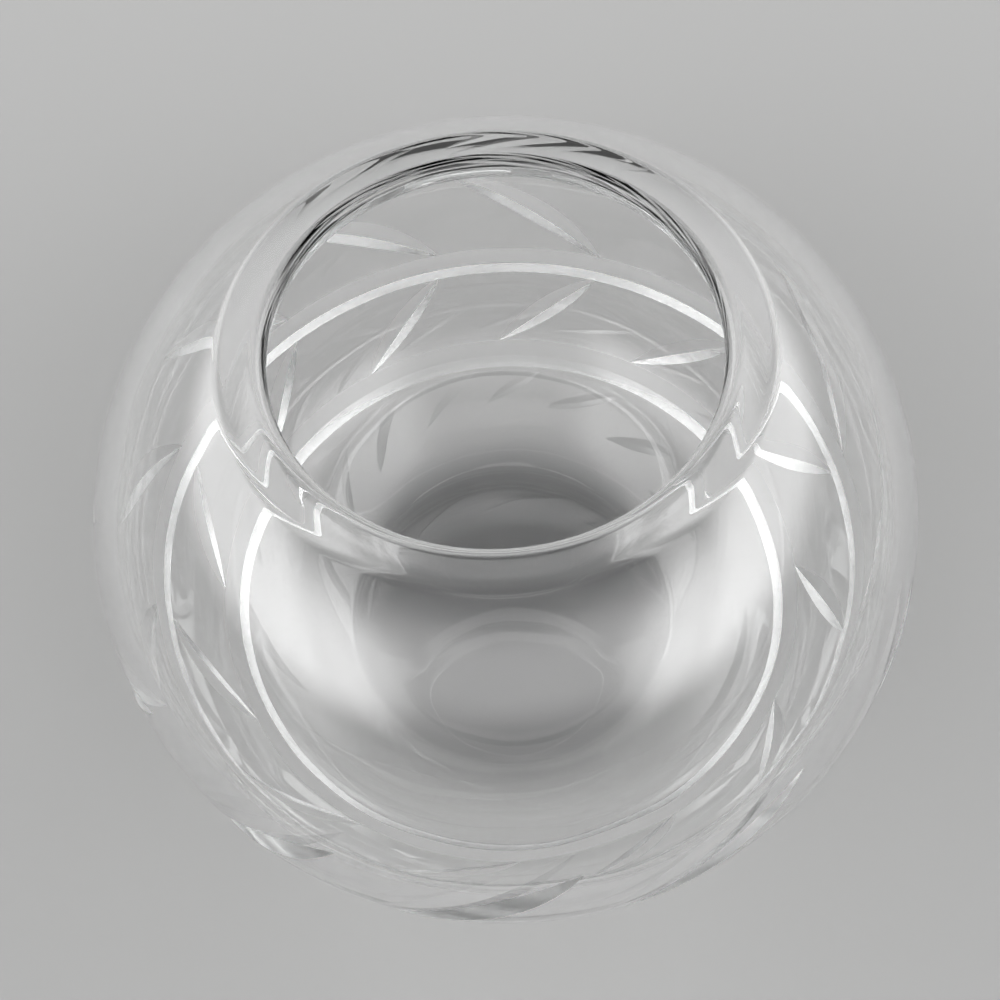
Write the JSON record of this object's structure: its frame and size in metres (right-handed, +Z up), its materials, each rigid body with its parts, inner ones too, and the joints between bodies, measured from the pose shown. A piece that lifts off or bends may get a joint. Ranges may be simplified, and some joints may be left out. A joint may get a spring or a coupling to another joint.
{
  "type": "rose bowl vase",
  "caption": "Clear cut-glass rose bowl: a heavy globe vase with an incurved shoulder, a thick lip ground level on top, a flat ground foot, mitre-cut rings and a band of leaf cuts; holds water and short stems.",
  "frame": {"origin": "centre of the flat foot, on the surface that the bowl stands on", "axes": "+Z up along the bowl's axis; -Y towards the picture's viewer; the leaf roots start 9 degrees from +X"},
  "size_m": [0.15, 0.15, 0.1122],
  "materials": {
    "glass": "clear colourless crystal, fire-polished outside and inside, with polished V-section cuts"
  },
  "bodies": {
    "root": {"lip": "glass", "shoulder": "glass", "upper_leaf_band": "glass", "lower_leaf_band": "glass", "heel": "glass", "base": "glass"}
  },
  "joints": []
}
